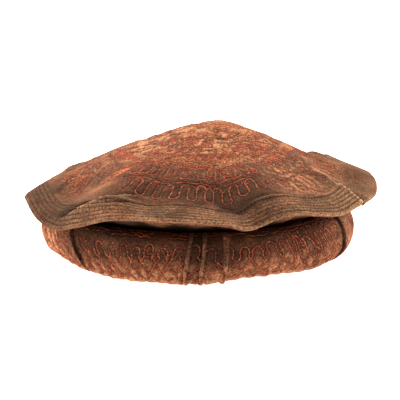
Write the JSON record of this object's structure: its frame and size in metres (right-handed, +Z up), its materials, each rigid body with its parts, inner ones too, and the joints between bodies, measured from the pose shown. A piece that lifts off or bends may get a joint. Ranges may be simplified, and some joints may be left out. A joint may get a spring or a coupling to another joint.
{
  "type": "pakol hat",
  "caption": "Soft round wool hat: a low cone crown with a wide wavy stitched brim over a thick rolled-up band, open below for the head.",
  "frame": {"origin": "on the table under the middle of the hat", "axes": "+Z up through the crown, the front of the hat towards -Y, +X to the right seen from the front"},
  "size_m": [0.2798, 0.2766, 0.104],
  "materials": {
    "crown_wool": "brown felted wool with red-orange chain-stitch embroidery",
    "wall_wool": "plain brown felted wool",
    "band_wool": "brown felted wool with red-orange chain-stitch embroidery"
  },
  "bodies": {
    "root": {"crown": "crown_wool", "side_wall": "wall_wool", "rolled_band": "band_wool"}
  },
  "joints": []
}
